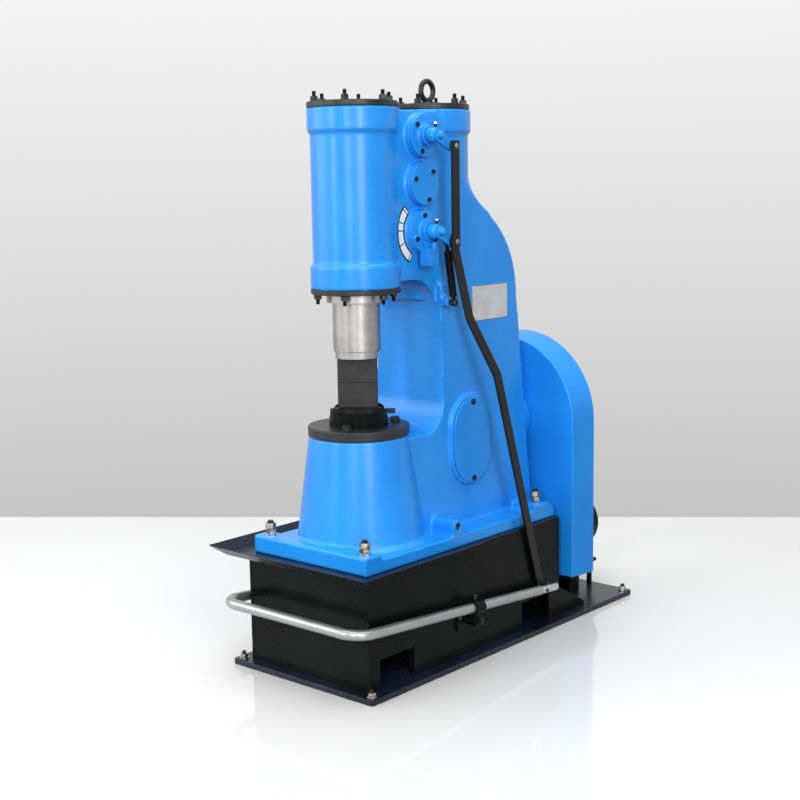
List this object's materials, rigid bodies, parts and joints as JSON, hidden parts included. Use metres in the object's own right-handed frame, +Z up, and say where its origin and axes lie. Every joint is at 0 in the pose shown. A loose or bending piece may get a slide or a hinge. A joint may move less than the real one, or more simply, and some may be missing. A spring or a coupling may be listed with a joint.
{
  "type": "pneumatic forging hammer",
  "caption": "Self-contained air forging hammer: C-frame casting with working and compressor cylinders, ram, dies, treadle valve gear, belt guard, motor and welded stand.",
  "frame": {"origin": "centre of the base plate's underside, on the floor", "axes": "+Z up, dies and operator towards -Y, belt guard and motor towards +Y, valve gear on +X"},
  "size_m": [0.541, 1.2843, 1.501],
  "materials": {
    "azure_enamel": "satin-gloss azure enamel sprayed over a filled iron casting, with fine orange peel",
    "black_paint": "satin black paint with a faint blue sheen on welded plate and bar",
    "black_oxide": "blackened machined steel with fine turning marks",
    "ground_steel": "bright ground steel with a thin film of oil",
    "galvanised_tube": "smooth zinc-plated steel pipe"
  },
  "bodies": {
    "frame": {"frame_casting": "azure_enamel", "upper_valve_cover": "azure_enamel", "middle_valve_cover": "azure_enamel", "lower_valve_cover": "azure_enamel", "left_valve_covers": "azure_enamel", "inspection_cover": "azure_enamel", "left_inspection_cover": "azure_enamel", "belt_guard": "azure_enamel", "base_plate": "black_paint", "stand_front_wall": "black_paint", "stand_rear_wall": "black_paint", "stand_left_wall": "black_paint", "stand_right_wall": "black_paint", "stand_top_plate": "black_paint", "drip_tray": "black_paint", "left_treadle_bracket": "black_paint", "right_treadle_bracket": "black_paint", "motor_pedestal": "black_paint", "motor_plate": "black_paint", "motor_body": "black_paint", "motor_fan_cowl": "black_paint", "front_cylinder_cover": "black_oxide", "rear_cylinder_cover": "black_oxide", "lifting_eye": "black_oxide", "gland_ring": "black_oxide", "anvil_plate": "black_oxide", "die_holder": "black_oxide", "lower_die_key": "black_oxide", "lower_die": "black_oxide", "spring_stud": "black_oxide", "guide_bush": "ground_steel"},
    "ram": {"ram": "ground_steel", "upper_die": "black_oxide"},
    "treadle": {"treadle_tube": "galvanised_tube", "left_treadle_collar": "black_paint", "right_treadle_collar": "black_paint", "treadle_end_plug": "galvanised_tube"},
    "pedal_rod": {"pedal_rod": "black_paint"},
    "link_bar": {"link_bar": "black_paint"},
    "lower_lever": {"lower_lever": "azure_enamel"},
    "upper_lever": {"upper_lever": "azure_enamel"},
    "spring_rod": {"spring_rod": "ground_steel"},
    "spring_tube": {"spring_tube": "black_paint"}
  },
  "joints": [
    {"name": "ram_slide", "type": "slide", "parent": "frame", "child": "ram", "axis": [0, 0, 1], "range_m": [0, 0.14]},
    {"name": "treadle_hinge", "type": "hinge", "parent": "frame", "child": "treadle", "pos_m": [0.238, -0.17, 0.11], "axis": [1, 0, 0], "range_deg": [0, 7], "stiffness_Nm_per_rad": 30, "springref_deg": -22.92},
    {"name": "lower_lever_hinge", "type": "hinge", "parent": "frame", "child": "lower_lever", "pos_m": [0.144, -0.1995, 1.111], "axis": [1, 0, 0], "range_deg": [0, 46.82]},
    {"name": "upper_lever_hinge", "type": "hinge", "parent": "frame", "child": "upper_lever", "pos_m": [0.144, -0.1995, 1.349], "axis": [1, 0, 0], "range_deg": [0, 46.82]},
    {"name": "link_bar_hinge", "type": "hinge", "parent": "lower_lever", "child": "link_bar", "pos_m": [0.1715, -0.1535, 1.084], "axis": [1, 0, 0], "range_deg": [-46.82, 0]},
    {"name": "pedal_rod_hinge", "type": "hinge", "parent": "treadle", "child": "pedal_rod", "pos_m": [0.2165, 0.14969, 0.11867], "axis": [1, 0, 0], "range_deg": [-7.72, 0]},
    {"name": "spring_rod_hinge", "type": "hinge", "parent": "frame", "child": "spring_rod", "pos_m": [0.141, -0.126, 0.927], "axis": [1, 0, 0], "range_deg": [-4.56, 0]},
    {"name": "spring_tube_slide", "type": "slide", "parent": "spring_rod", "child": "spring_tube", "axis": [0, -0.1725, 0.985], "range_m": [0, 0.0401]}
  ],
  "couplings": [
    {"joint": "lower_lever_hinge", "follows": "treadle_hinge", "ratio": 6.6808},
    {"joint": "upper_lever_hinge", "follows": "treadle_hinge", "ratio": 6.6808},
    {"joint": "link_bar_hinge", "follows": "treadle_hinge", "ratio": -6.6808},
    {"joint": "pedal_rod_hinge", "follows": "treadle_hinge", "ratio": -1.0953},
    {"joint": "spring_rod_hinge", "follows": "treadle_hinge", "ratio": -0.6449},
    {"joint": "spring_tube_slide", "follows": "treadle_hinge", "m_per_rad": 0.32646}
  ]
}
